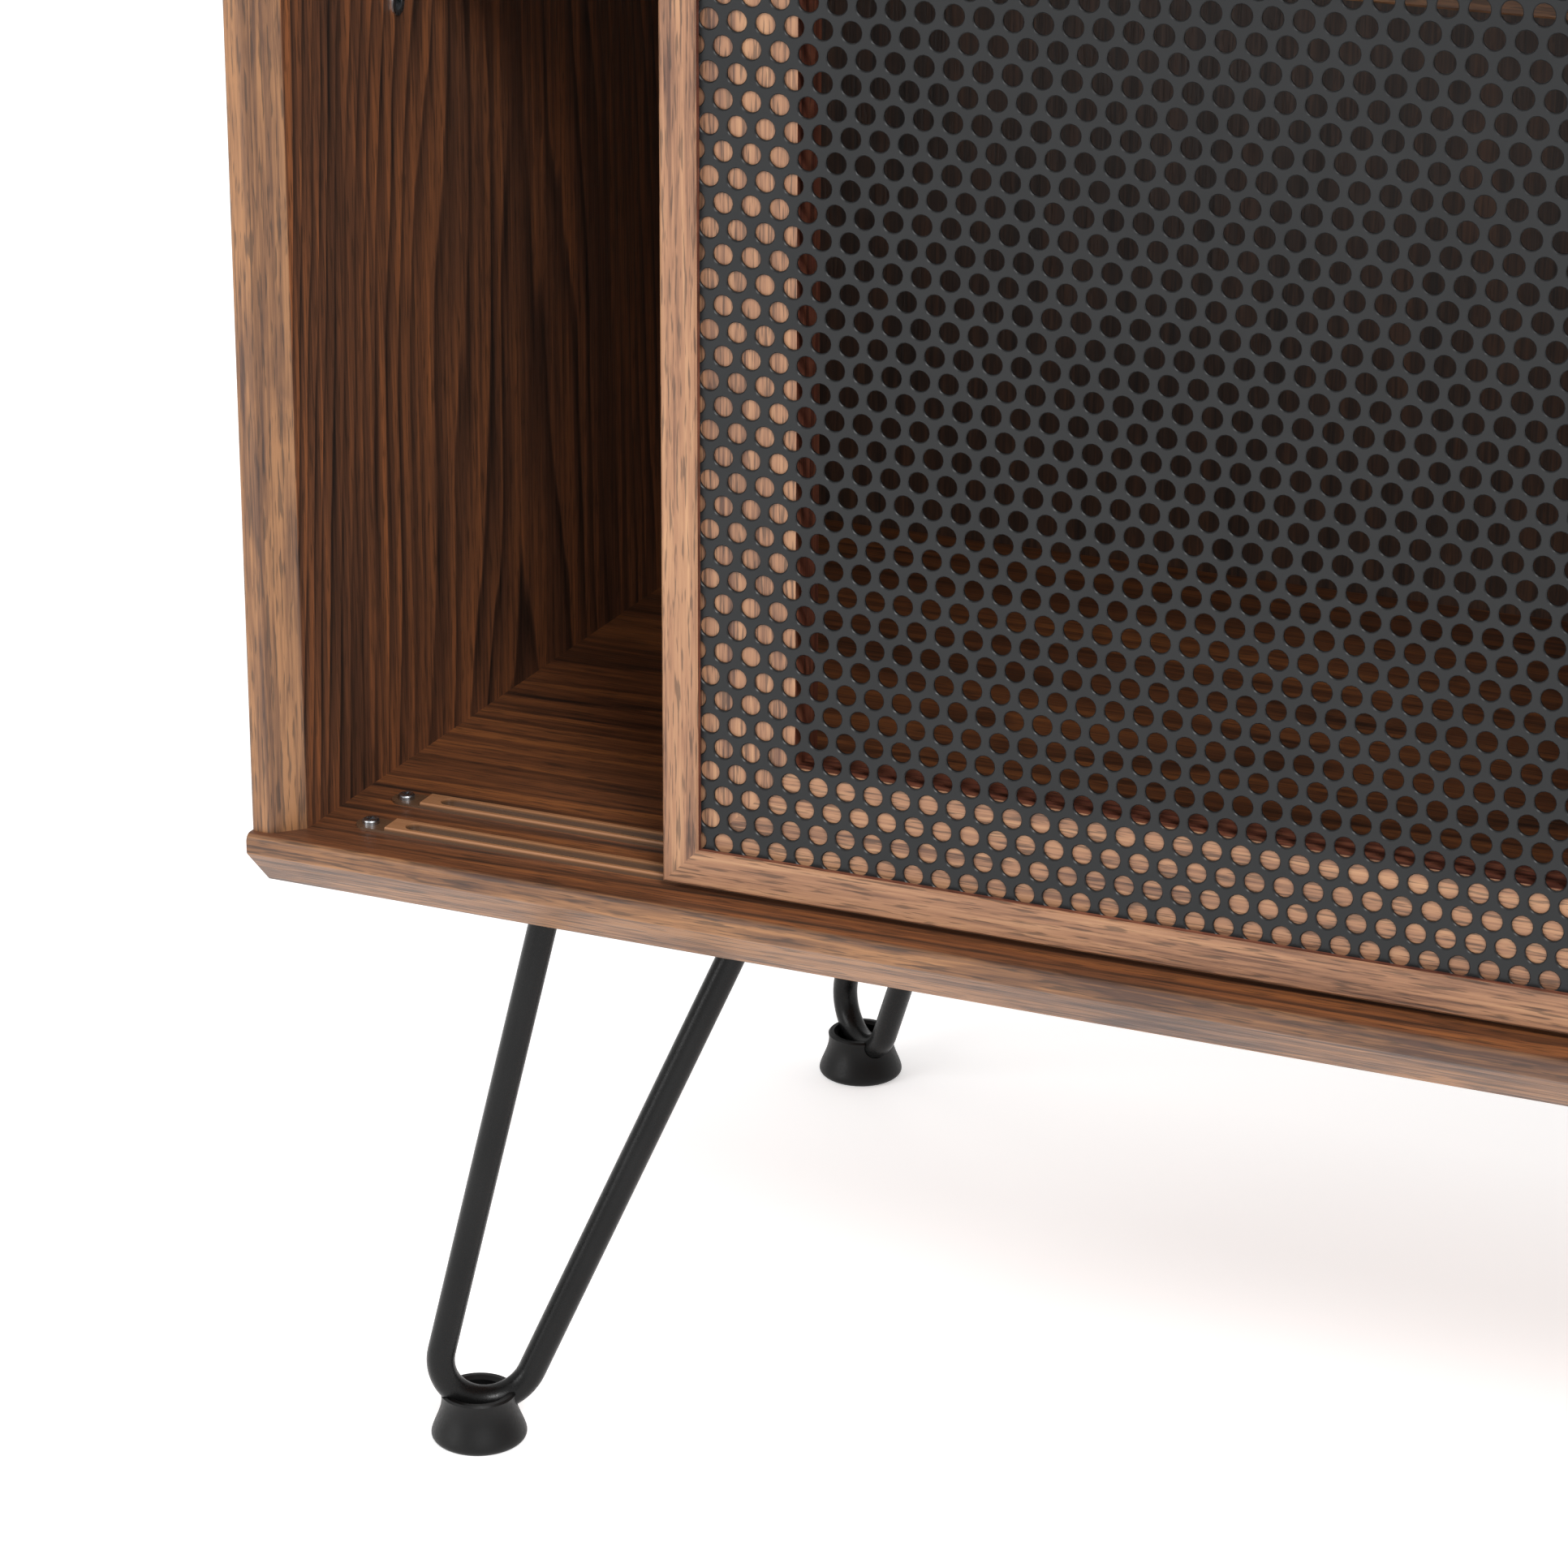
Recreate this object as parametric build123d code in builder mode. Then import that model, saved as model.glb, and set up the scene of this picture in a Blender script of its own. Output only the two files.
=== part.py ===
"""Low record cabinet with two sliding perforated-metal doors, standing on four hairpin legs.

Millimetres, +Z up, +X to the right and +Y to the back as seen from the front.
The origin is on the ground under the middle of the cabinet.
"""
import os
from math import cos, radians, sin

from build123d import *

os.makedirs("parts", exist_ok=True)

# Overall size
overall_width = 1194
overall_depth = 444.5
overall_height = 711
leg_height = 227

# Boards
panel_thickness = 23.5
side_thickness = 18
divider_thickness = 18
shelf_thickness = 15
back_thickness = 5
nose_bevel = 15.9
nose_radius = 3
side_nose_width = 7.7
side_setback = 4.3
rebate_depth = 5.5
rebate_width = 7

# Doors and their tracks
door_width = 594
door_thickness = 24.4
door_opening = 145.5
frame_width = 50
lip_width = 14
lip_height = 3
sheet_thickness = 1.2
sheet_slot_depth = 5
door_setback = 14.9
track_spacing = 28.2
track_width = 11
lower_track_height = 2.4
upper_track_height = 9
door_gap_below = 2.9
door_gap_above = 1.5

# Rollers and guide pins
wheel_radius = 9
wheel_width = 4.6
wheel_clearance = 0.3
axle_radius = 1.5
roller_inset = 60
pin_radius = 2
pin_reach = 6.3

# Shelves
shelf_hole_step = 32
shelf_pin_radius = 2.5
shelf_front = -129.2
shelf_pin_front = -122.1
shelf_pin_rear = 140

# Legs
rod_radius = 5.5
plate_thickness = 3
foot_inset_x = 75
foot_y = 189.2
leg_turn = 37
outer_lean = 13.6
inner_lean = 25.5
bend_radius = 18.7
bend_height = 34.2
bend_offset = 4.2
foot_height = 20

# Worked out from the driving dimensions
half_width = overall_width / 2
front = -overall_depth / 2
back = overall_depth / 2
floor_z = leg_height + panel_thickness
ceiling_z = overall_height - panel_thickness
inner_height = ceiling_z - floor_z
inner_x = half_width - side_thickness
half_divider = divider_thickness / 2
rebate_y = back - rebate_width
lip_front = front + door_setback
front_track_y = lip_front + door_thickness / 2
rear_track_y = front_track_y + track_spacing
door_bottom = floor_z + door_gap_below
door_top = ceiling_z - upper_track_height - door_gap_above
door_height = door_top - door_bottom
front_door_left = -inner_x + door_opening
rear_door_left = inner_x - 1 - door_width
divider_front = rear_track_y + door_thickness / 2 + 5
shelf_pin_z = floor_z + 325.5
shelf_underside = shelf_pin_z + shelf_pin_radius
plate_underside = leg_height - plate_thickness
upright_x = half_width - side_thickness / 2

BOTTOM = (Align.CENTER, Align.CENTER, Align.MIN)
POINTS_UP = (0, 0, 0)
POINTS_DOWN = (180, 0, 0)
POINTS_BACK = (-90, 0, 0)
POINTS_RIGHT = (0, 90, 0)
POINTS_LEFT = (0, -90, 0)


def save(piece, name):
    piece.part.label = name
    export_step(piece.part, f"parts/{name}.step")


def drill(points, rotation, radius, depth):
    """Blind round holes that start at the points and run the way the rotation turns +Z."""
    with Locations(*[Location(point, rotation) for point in points]):
        Cylinder(radius, depth, align=BOTTOM, mode=Mode.SUBTRACT)


def pan_head_screws(points, rotation, head_radius, head_height, shank_radius, length):
    """Cross-recess screws seated at the points, heads towards the way the rotation turns +Z."""
    recess_depth = 0.55 * head_height
    with BuildPart() as screws:
        for point in points:
            with Locations(Location(point, rotation)):
                Cylinder(head_radius, head_height, align=BOTTOM)
                Cylinder(shank_radius, length, align=(Align.CENTER, Align.CENTER, Align.MAX))
        rims = screws.edges().filter_by(GeomType.CIRCLE).filter_by(
            lambda edge: abs(edge.radius - head_radius) < 0.01)
        seats = [Vector(*point) for point in points]
        outer_rims = [rim for rim in rims
                      if min((rim.arc_center - seat).length for seat in seats) > head_height / 2]
        fillet(outer_rims, 0.45 * head_height)
        with Locations(*[Location(point, rotation) for point in points]):
            with Locations((0, 0, head_height)):
                Box(1.1 * head_radius, 0.7, 2 * recess_depth, mode=Mode.SUBTRACT)
                Box(0.7, 1.1 * head_radius, 2 * recess_depth, mode=Mode.SUBTRACT)
    return screws


# Where the fasteners go
track_end_x = inner_x - 20
track_screw_points = [(side * track_end_x, y) for side in (-1, 1) for y in (front_track_y, rear_track_y)]
upright_centres = (-upright_x, 0, upright_x)
carcass_screw_points = [(x, y) for x in upright_centres for y in (-120, 20, 160)]
cam_points = [(x, y) for x in upright_centres for y in (-90, 150)]
dowel_points = [(x, y) for x in upright_centres for y in (-50, 110)]
cam_drop = 24
cam_radius = 7.5
cam_depth = 12.5
side_back_screw_heights = [floor_z + 60 + 0.36 * inner_height * step for step in range(3)]
side_back_screw_x = inner_x + rebate_depth / 2
panel_back_screw_x = [side * (60 + 229 * step) for side in (-1, 1) for step in range(3)]
shelf_heights = [shelf_pin_z + shelf_hole_step * step for step in (-1, 0, 1)]
sleeve_radius = 3.3
sleeve_hole_depth = 8
sleeve_flange = 0.8
shelf_walls = [(-inner_x, POINTS_LEFT), (-half_divider, POINTS_RIGHT),
               (half_divider, POINTS_LEFT), (inner_x, POINTS_RIGHT)]


def leg_plane(side_x, side_y):
    """Vertical plane of one hairpin: local X points from the foot towards the middle of the cabinet."""
    inward = Vector(-side_x * cos(radians(leg_turn)), -side_y * sin(radians(leg_turn)), 0)
    foot = (side_x * (half_width - foot_inset_x), side_y * foot_y, 0)
    return Plane(origin=foot, x_dir=inward, z_dir=inward.cross(Vector(0, 0, 1)))


def plate_plane(side_x, side_y):
    upright = leg_plane(side_x, side_y)
    return Plane(origin=upright.origin + Vector(0, 0, plate_underside), x_dir=upright.x_dir, z_dir=(0, 0, 1))


plate_start = 16
plate_length = 116
plate_width = 44
leg_screw_offsets = [(plate_start + along, across) for along in (10, 104) for across in (-15, 15)]
legs = {"front_left": (-1, -1), "front_right": (1, -1), "rear_left": (-1, 1), "rear_right": (1, 1)}
leg_screw_points = [
    tuple(plate_plane(*sides).from_local_coords((along, across, 0)))
    for sides in legs.values()
    for along, across in leg_screw_offsets
]


# ---- Top and bottom boards: rounded nose, bevelled away underneath ----
def bevelled_board(underside):
    top = underside + panel_thickness
    with BuildPart() as board:
        with BuildSketch(Plane.YZ) as profile:
            with BuildLine():
                Polyline((front, top), (back, top), (back, underside), (front + nose_bevel, underside),
                         (front, underside + nose_bevel), close=True)
            make_face()
            nose = profile.vertices().group_by(Axis.X)[0]
            fillet(nose.sort_by(Axis.Y)[-1], nose_radius)
            nose = profile.vertices().group_by(Axis.X)[0]
            fillet(nose.sort_by(Axis.Y)[0], 2)
        extrude(amount=half_width, both=True)
    return board


with BuildPart() as bottom_panel:
    add(bevelled_board(leg_height).part)
    with Locations((0, back - rebate_width / 2, floor_z)):
        Box(2 * (inner_x + rebate_depth), rebate_width, 2 * rebate_depth, mode=Mode.SUBTRACT)
    drill([(x, y, floor_z - 10) for x, y in track_screw_points], POINTS_UP, 1.6, 12)
    drill([(x, y, leg_height) for x, y in carcass_screw_points], POINTS_UP, 2.6, 40)
    drill([(x, y, leg_height) for x, y in carcass_screw_points], POINTS_UP, 4.6, 3.1)
    drill([(x, y, leg_height) for x, y, z in leg_screw_points], POINTS_UP, 2.1, 16)
    drill([(x, rebate_y, floor_z - rebate_depth / 2) for x in panel_back_screw_x],
          (90, 0, 0), 1.6, 12)
save(bottom_panel, "bottom_panel")

with BuildPart() as top_panel:
    add(bevelled_board(ceiling_z).part)
    with Locations((0, back - rebate_width / 2, ceiling_z)):
        Box(2 * (inner_x + rebate_depth), rebate_width, 2 * rebate_depth, mode=Mode.SUBTRACT)
    drill([(x, y, ceiling_z) for x, y in track_screw_points], POINTS_UP, 1.6, 12)
    drill([(x, y, ceiling_z) for x, y in cam_points], POINTS_UP, 3.1, 12)
    drill([(x, y, ceiling_z) for x, y in dowel_points], POINTS_UP, 4.1, 15.5)
    drill([(x, rebate_y, ceiling_z + rebate_depth / 2) for x in panel_back_screw_x],
          (90, 0, 0), 1.6, 12)
save(top_panel, "top_panel")

# ---- Side boards: bevelled on the inner front edge ----
for name, side in (("left", -1), ("right", 1)):
    side_front = front + side_setback
    bevel_back = side_front + side_thickness - side_nose_width
    with BuildPart() as side_panel:
        with BuildSketch(Plane.XY.offset(floor_z)) as section:
            with BuildLine():
                Polyline((side * half_width, side_front), (side * (half_width - side_nose_width), side_front),
                         (side * inner_x, bevel_back), (side * inner_x, back), (side * half_width, back),
                         close=True)
            make_face()
            fillet(section.vertices().group_by(Axis.Y)[0], 1.6)
            fillet(section.vertices().filter_by(lambda corner: abs(corner.Y - bevel_back) < 0.01), 1.6)
        extrude(amount=inner_height)
        with Locations((side * inner_x, back - rebate_width / 2, floor_z + inner_height / 2)):
            Box(2 * rebate_depth, rebate_width, inner_height, mode=Mode.SUBTRACT)
        facing = POINTS_RIGHT if side > 0 else POINTS_LEFT
        shelf_holes = [(side * inner_x, y, z) for y in (shelf_pin_front, shelf_pin_rear) for z in shelf_heights]
        drill(shelf_holes, facing, sleeve_radius + 0.05, sleeve_hole_depth)
        own_cams = [(x, y) for x, y in cam_points if x * side > 0]
        drill([(side * inner_x, y, ceiling_z - cam_drop) for x, y in own_cams], facing, cam_radius + 0.1,
              cam_depth + 0.3)
        drill([(x, y, ceiling_z) for x, y in own_cams], POINTS_DOWN, 4, cam_drop)
        drill([(x, y, ceiling_z) for x, y in dowel_points if x * side > 0], POINTS_DOWN, 4.1, 15.5)
        drill([(x, y, floor_z) for x, y in carcass_screw_points if x * side > 0], POINTS_UP, 2.6, 30)
        drill([(side * side_back_screw_x, rebate_y, z) for z in side_back_screw_heights], (90, 0, 0), 1.6, 12)
    save(side_panel, f"{name}_side_panel")

# ---- Divider between the two compartments, behind the doors ----
with BuildPart() as centre_divider:
    with BuildSketch(Plane.XY.offset(floor_z)):
        with Locations((0, (divider_front + rebate_y) / 2)):
            Rectangle(divider_thickness, rebate_y - divider_front)
    extrude(amount=inner_height)
    for face_x, facing in ((-half_divider, POINTS_RIGHT), (half_divider, POINTS_LEFT)):
        holes = [(face_x, y, z) for y in (shelf_pin_front, shelf_pin_rear) for z in shelf_heights]
        drill(holes, facing, sleeve_radius + 0.05, sleeve_hole_depth)
    centre_cams = [(x, y) for x, y in cam_points if x == 0]
    drill([(-half_divider, y, ceiling_z - cam_drop) for x, y in centre_cams], POINTS_RIGHT, cam_radius + 0.1,
          cam_depth + 0.3)
    drill([(0, y, ceiling_z) for x, y in centre_cams], POINTS_DOWN, 4, cam_drop)
    drill([(0, y, ceiling_z) for x, y in dowel_points if x == 0], POINTS_DOWN, 4.1, 15.5)
    drill([(0, y, floor_z) for x, y in carcass_screw_points if x == 0], POINTS_UP, 2.6, 30)
    drill([(x, rebate_y, z) for x in (-4.5, 4.5) for z in side_back_screw_heights], (90, 0, 0), 1.6, 12)
save(centre_divider, "centre_divider")

# ---- Back boards, one behind each compartment, with a cable hole above the shelf ----
back_clearance = 0.5
back_outer_x = inner_x + rebate_depth - back_clearance
back_width = back_outer_x - back_clearance
back_height = inner_height + 2 * (rebate_depth - back_clearance)
middle_z = (floor_z + ceiling_z) / 2
back_screw_points = [
    (x, rebate_y + back_thickness, z)
    for z in side_back_screw_heights
    for x in (-side_back_screw_x, -4.5, 4.5, side_back_screw_x)
] + [
    (x, rebate_y + back_thickness, z)
    for z in (floor_z - rebate_depth / 2, ceiling_z + rebate_depth / 2)
    for x in panel_back_screw_x
]
for name, side in (("left", -1), ("right", 1)):
    with BuildPart() as back_panel:
        with BuildSketch(Plane.XZ.offset(-rebate_y - back_thickness)):
            with Locations((side * (back_clearance + back_width / 2), middle_z)):
                Rectangle(back_width, back_height)
            with Locations((side * inner_x / 2, ceiling_z - 48)):
                Circle(20, mode=Mode.SUBTRACT)
            with Locations(*[(x, z) for x, y, z in back_screw_points if x * side > 0]):
                Circle(1.6, mode=Mode.SUBTRACT)
        extrude(amount=back_thickness)
    save(back_panel, f"{name}_back_panel")

back_panel_screws = pan_head_screws(back_screw_points, POINTS_BACK, 2.4, 1.5, 1.5, 15)
save(back_panel_screws, "back_panel_screws")

# ---- Adjustable shelves on sleeved pins ----
for name, side in (("left", -1), ("right", 1)):
    shelf_length = inner_x - half_divider - 2
    with BuildPart() as shelf:
        with BuildSketch(Plane.XY.offset(shelf_underside)):
            with Locations((side * (inner_x + half_divider) / 2, (shelf_front + rebate_y - 1) / 2)):
                Rectangle(shelf_length, rebate_y - 1 - shelf_front)
        extrude(amount=shelf_thickness)
        chamfer(shelf.edges().filter_by(Axis.X).group_by(Axis.Y)[0], 0.8)
    save(shelf, f"{name}_shelf")

with BuildPart() as shelf_pin_sleeves:
    for wall_x, facing in shelf_walls:
        for y in (shelf_pin_front, shelf_pin_rear):
            for z in shelf_heights:
                with Locations(Location((wall_x, y, z), facing)):
                    Cylinder(sleeve_radius, sleeve_hole_depth - 0.5, align=BOTTOM)
                    Cylinder(4.5, sleeve_flange, align=(Align.CENTER, Align.CENTER, Align.MAX))
                    Cylinder(shelf_pin_radius + 0.05, 2 * sleeve_hole_depth, mode=Mode.SUBTRACT)
save(shelf_pin_sleeves, "shelf_pin_sleeves")

with BuildPart() as shelf_pins:
    for wall_x, facing in shelf_walls:
        for y in (shelf_pin_front, shelf_pin_rear):
            with Locations(Location((wall_x, y, shelf_pin_z), facing)):
                Cylinder(shelf_pin_radius, 16)
    chamfer(shelf_pins.edges().filter_by(GeomType.CIRCLE), 0.5)
save(shelf_pins, "shelf_pins")

# ---- Tracks: two below with a wide groove, two above with a narrow slot ----
track_half = track_end_x - 8.4
groove_half = track_half - 6.5
tab_thickness = 1.0
groove_width = 7
groove_floor = 0.8
slot_width = 4.8
slot_depth = 7


def track(y, base_z, way, height, groove, groove_depth):
    """Track along X. way is 1 when it stands on the floor and -1 when it hangs from the ceiling."""
    base = Plane(origin=(0, y, base_z), x_dir=(1, 0, 0), z_dir=(0, 0, way))
    with BuildPart() as rail:
        with BuildSketch(base):
            SlotCenterToCenter(2 * track_end_x, track_width)
            with Locations((-track_end_x, 0), (track_end_x, 0)):
                Circle(1.6, mode=Mode.SUBTRACT)
        extrude(amount=tab_thickness)
        with BuildSketch(base):
            Rectangle(2 * track_half, track_width)
        extrude(amount=height)
        chamfer(rail.edges().filter_by(Axis.X).group_by(Axis.Z)[-1 if way > 0 else 0], 0.6)
        with BuildSketch(base.offset(height)):
            SlotOverall(2 * groove_half, groove)
        extrude(amount=-groove_depth, mode=Mode.SUBTRACT)
    return rail


for name, y in (("front", front_track_y), ("rear", rear_track_y)):
    lower = track(y, floor_z, 1, lower_track_height, groove_width, lower_track_height - groove_floor)
    save(lower, f"lower_{name}_track")
    upper = track(y, ceiling_z, -1, upper_track_height, slot_width, slot_depth)
    save(upper, f"upper_{name}_track")

lower_screws = pan_head_screws([(x, y, floor_z + tab_thickness) for x, y in track_screw_points],
                               POINTS_UP, 3.2, 1.9, 1.5, 10)
upper_screws = pan_head_screws([(x, y, ceiling_z - tab_thickness) for x, y in track_screw_points],
                               POINTS_DOWN, 3.2, 1.9, 1.5, 10)
with BuildPart() as track_screws:
    add(lower_screws.part)
    add(upper_screws.part)
save(track_screws, "track_screws")

# ---- Carcass fittings: screws up into the uprights, cams and dowels at the top ----
with BuildPart() as carcass_screws:
    with Locations(*[(x, y, leg_height) for x, y in carcass_screw_points]):
        Cylinder(4.5, 3, align=BOTTOM)
        Cylinder(2.5, 48, align=BOTTOM)
        Box(3, 3, 4, mode=Mode.SUBTRACT)
save(carcass_screws, "carcass_screws")

with BuildPart() as cam_locks:
    for x, y in cam_points:
        facing = POINTS_RIGHT if x >= 0 else POINTS_LEFT
        face_x = -half_divider if x == 0 else (inner_x if x > 0 else -inner_x)
        with Locations(Location((face_x, y, ceiling_z - cam_drop), facing)):
            Cylinder(cam_radius, cam_depth, align=BOTTOM)
            Box(1.2, 9, 3, mode=Mode.SUBTRACT)
        with Locations((x, y, ceiling_z - cam_drop - 4)):
            Cylinder(3.4, 20, align=BOTTOM, mode=Mode.SUBTRACT)
save(cam_locks, "cam_locks")

with BuildPart() as cam_bolts:
    with Locations(*[(x, y, ceiling_z - cam_drop) for x, y in cam_points]):
        Cylinder(2.2, cam_drop + 11.5, align=BOTTOM)
        Cylinder(3.2, 2.5, align=BOTTOM)
    with Locations(*[(x, y, ceiling_z) for x, y in cam_points]):
        Cylinder(3, 11.5, align=BOTTOM)
save(cam_bolts, "cam_bolts")

with BuildPart() as dowels:
    with Locations(*[(x, y, ceiling_z) for x, y in dowel_points]):
        Cylinder(4, 30)
    chamfer(dowels.edges().filter_by(GeomType.CIRCLE), 1)
save(dowels, "dowels")


# ---- Hairpin legs ----
def hairpin_line(plane):
    """Centre line of the bent rod, running past the mounting plate at both ends."""
    run = leg_height
    outer = radians(outer_lean)
    inner = radians(inner_lean)
    outer_foot = (bend_offset - bend_radius * cos(outer), bend_height + bend_radius * sin(outer))
    inner_foot = (bend_offset + bend_radius * cos(inner), bend_height - bend_radius * sin(inner))
    outer_top = (outer_foot[0] + run * sin(outer), outer_foot[1] + run * cos(outer))
    inner_top = (inner_foot[0] + run * sin(inner), inner_foot[1] + run * cos(inner))
    with BuildLine(plane) as line:
        Line(outer_top, outer_foot)
        CenterArc((bend_offset, bend_height), bend_radius, 180 - outer_lean, 180 + outer_lean - inner_lean)
        Line(inner_foot, inner_top)
    return line


def sweep_rod(line, radius, mode):
    path = line.wires()[0]
    with BuildSketch(Plane(origin=path @ 0, z_dir=path % 0)) as section:
        Circle(radius)
    sweep(section.sketch, path=path, mode=mode)


for name, sides in legs.items():
    plane = leg_plane(*sides)
    line = hairpin_line(plane)
    with BuildPart() as leg_rod:
        sweep_rod(line, rod_radius, Mode.ADD)
        split(bisect_by=Plane.XY.offset(plate_underside), keep=Keep.BOTTOM)
    save(leg_rod, f"{name}_leg_rod")

    with BuildPart() as leg_plate:
        with BuildSketch(plate_plane(*sides)):
            with Locations((plate_start + plate_length / 2, 0)):
                RectangleRounded(plate_length, plate_width, 8)
            with Locations(*leg_screw_offsets):
                Circle(2.2, mode=Mode.SUBTRACT)
        extrude(amount=plate_thickness)
    save(leg_plate, f"{name}_leg_plate")

    foot_plane = Plane(origin=plane.origin, x_dir=(1, 0, 0), z_dir=(0, -1, 0))
    with BuildPart() as foot:
        with BuildSketch(foot_plane):
            with BuildLine():
                Polyline((16.9, 0), (0, 0), (0, 9.9), (10, 9.9), (10.5, foot_height - 1.2),
                         (12.2, foot_height), (14, foot_height), (14.7, foot_height - 0.8))
                Spline((14.7, foot_height - 0.8), (14.5, 15.5), (16.1, 9.5), (18.2, 4.2), (18.6, 2.4), (16.9, 0))
            make_face()
        revolve(axis=Axis(plane.origin, (0, 0, 1)))
        sweep_rod(line, rod_radius + 0.3, Mode.SUBTRACT)
    save(foot, f"{name}_foot")

leg_screws = pan_head_screws(leg_screw_points, POINTS_DOWN, 4, 2.2, 2, 17)
save(leg_screws, "leg_screws")

# ---- Doors ----
wheel_z = floor_z + groove_floor + wheel_clearance + wheel_radius
roller_length = 34
roller_width = 9.6
roller_height = 20
guide_length = 14
guide_height = 26
bore_clearance = 0.05


def mitred_outline(member, left, width):
    """Corners of one frame member of the given width, in X and Z, with 45 degree ends."""
    right = left + door_width
    outlines = {
        "left_stile": [(left, door_bottom), (left + width, door_bottom + width),
                       (left + width, door_top - width), (left, door_top)],
        "right_stile": [(right, door_bottom), (right - width, door_bottom + width),
                        (right - width, door_top - width), (right, door_top)],
        "bottom_rail": [(left, door_bottom), (left + width, door_bottom + width),
                        (right - width, door_bottom + width), (right, door_bottom)],
        "top_rail": [(left, door_top), (left + width, door_top - width),
                     (right - width, door_top - width), (right, door_top)],
    }
    return outlines[member]


def frame_member(member, left, door_front):
    """Mitred member: a narrow lip in front, a slot for the sheet and a wide body behind it."""
    slot_front = door_front + lip_height
    slot_back = slot_front + sheet_thickness + 0.2
    body_back = door_front + door_thickness
    layers = ((lip_width, door_front, slot_front), (lip_width - sheet_slot_depth, slot_front, slot_back),
              (frame_width, slot_back, body_back))
    with BuildPart() as piece:
        for width, near, far in layers:
            with BuildSketch(Plane.XZ.offset(-far)):
                with BuildLine():
                    Polyline(*mitred_outline(member, left, width), close=True)
                make_face()
            extrude(amount=far - near)
        along = Axis.Z if "stile" in member else Axis.X
        chamfer(piece.edges().filter_by(along).group_by(Axis.Y)[0], 0.8)
        roller_xs = (left + roller_inset, left + door_width - roller_inset)
        middle_y = door_front + door_thickness / 2
        if member == "bottom_rail":
            with Locations(*[(x, middle_y, door_bottom) for x in roller_xs]):
                Box(roller_length + 0.3, roller_width + 0.3, roller_height + 0.3, align=BOTTOM,
                    mode=Mode.SUBTRACT)
        if member == "top_rail":
            with Locations(*[(x, middle_y, door_top - guide_height - 0.3) for x in roller_xs]):
                Box(guide_length + 0.3, roller_width + 0.3, guide_height + 0.3, align=BOTTOM,
                    mode=Mode.SUBTRACT)
    return piece


def door_sheet(left, door_front):
    """The sheet's outer size and place, without its small holes. Its edges sit in the slot of the frame."""
    edge = lip_width - sheet_slot_depth + 0.3
    sheet_back = door_front + lip_height + 0.1 + sheet_thickness
    with BuildPart() as sheet:
        with BuildSketch(Plane.XZ.offset(-sheet_back)):
            with Locations((left + door_width / 2, (door_bottom + door_top) / 2)):
                Rectangle(door_width - 2 * edge, door_height - 2 * edge)
        extrude(amount=sheet_thickness)
    return sheet


def roller_housing(x, y):
    """Plastic block in the bottom rail that carries one wheel on its axle."""
    with BuildPart() as housing:
        with Locations((x, y, door_bottom)):
            Box(roller_length, roller_width, roller_height, align=BOTTOM)
        with Locations((x, y, door_bottom)):
            Box(2 * wheel_radius + 4, wheel_width + 0.8, 2 * (wheel_z + wheel_radius + 1.5 - door_bottom),
                mode=Mode.SUBTRACT)
        with Locations(Location((x, y, wheel_z), POINTS_BACK)):
            Cylinder(axle_radius + bore_clearance, roller_width, mode=Mode.SUBTRACT)
    return housing


def wheel(x, y):
    with BuildPart() as tread:
        with Locations(Location((x, y, wheel_z), POINTS_BACK)):
            Cylinder(wheel_radius, wheel_width)
            fillet(tread.edges().filter_by(GeomType.CIRCLE), 0.7)
            with Locations((0, 0, wheel_width / 2), (0, 0, -wheel_width / 2)):
                Cylinder(6.6, 1.6, mode=Mode.SUBTRACT)
                Cylinder(3.1, 1.6)
            with Locations(*[(4.85 * cos(radians(72 * n)), 4.85 * sin(radians(72 * n)), 0) for n in range(5)]):
                Cylinder(1.1, wheel_width, mode=Mode.SUBTRACT)
            Cylinder(axle_radius + bore_clearance, 2 * wheel_width, mode=Mode.SUBTRACT)
        split(bisect_by=Plane.XZ.offset(-y - wheel_width / 2), keep=Keep.TOP)
        split(bisect_by=Plane.XZ.offset(-y + wheel_width / 2), keep=Keep.BOTTOM)
    return tread


def guide_housing(x, y):
    """Adds one guide block in the top rail, bored for the pin and its spring."""
    with Locations((x, y, door_top)):
        Box(guide_length, roller_width, guide_height, align=(Align.CENTER, Align.CENTER, Align.MAX))
        Cylinder(pin_radius + 0.06, 2 * guide_height - 8, mode=Mode.SUBTRACT)
    with Locations((x, y, door_top - 22)):
        Cylinder(3.7, 14, align=BOTTOM, mode=Mode.SUBTRACT)


def guide_pin(x, y):
    with BuildPart() as pin:
        with Locations((x, y, door_top - 8.5)):
            Cylinder(pin_radius, 8.5 + pin_reach, align=BOTTOM)
            Cylinder(3.5, 3, align=(Align.CENTER, Align.CENTER, Align.MAX))
            Cylinder(1.2, 6.5, align=(Align.CENTER, Align.CENTER, Align.MAX))
        fillet(pin.edges().filter_by(GeomType.CIRCLE).sort_by(Axis.Z)[-1:], 1.5)
    return pin


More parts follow.
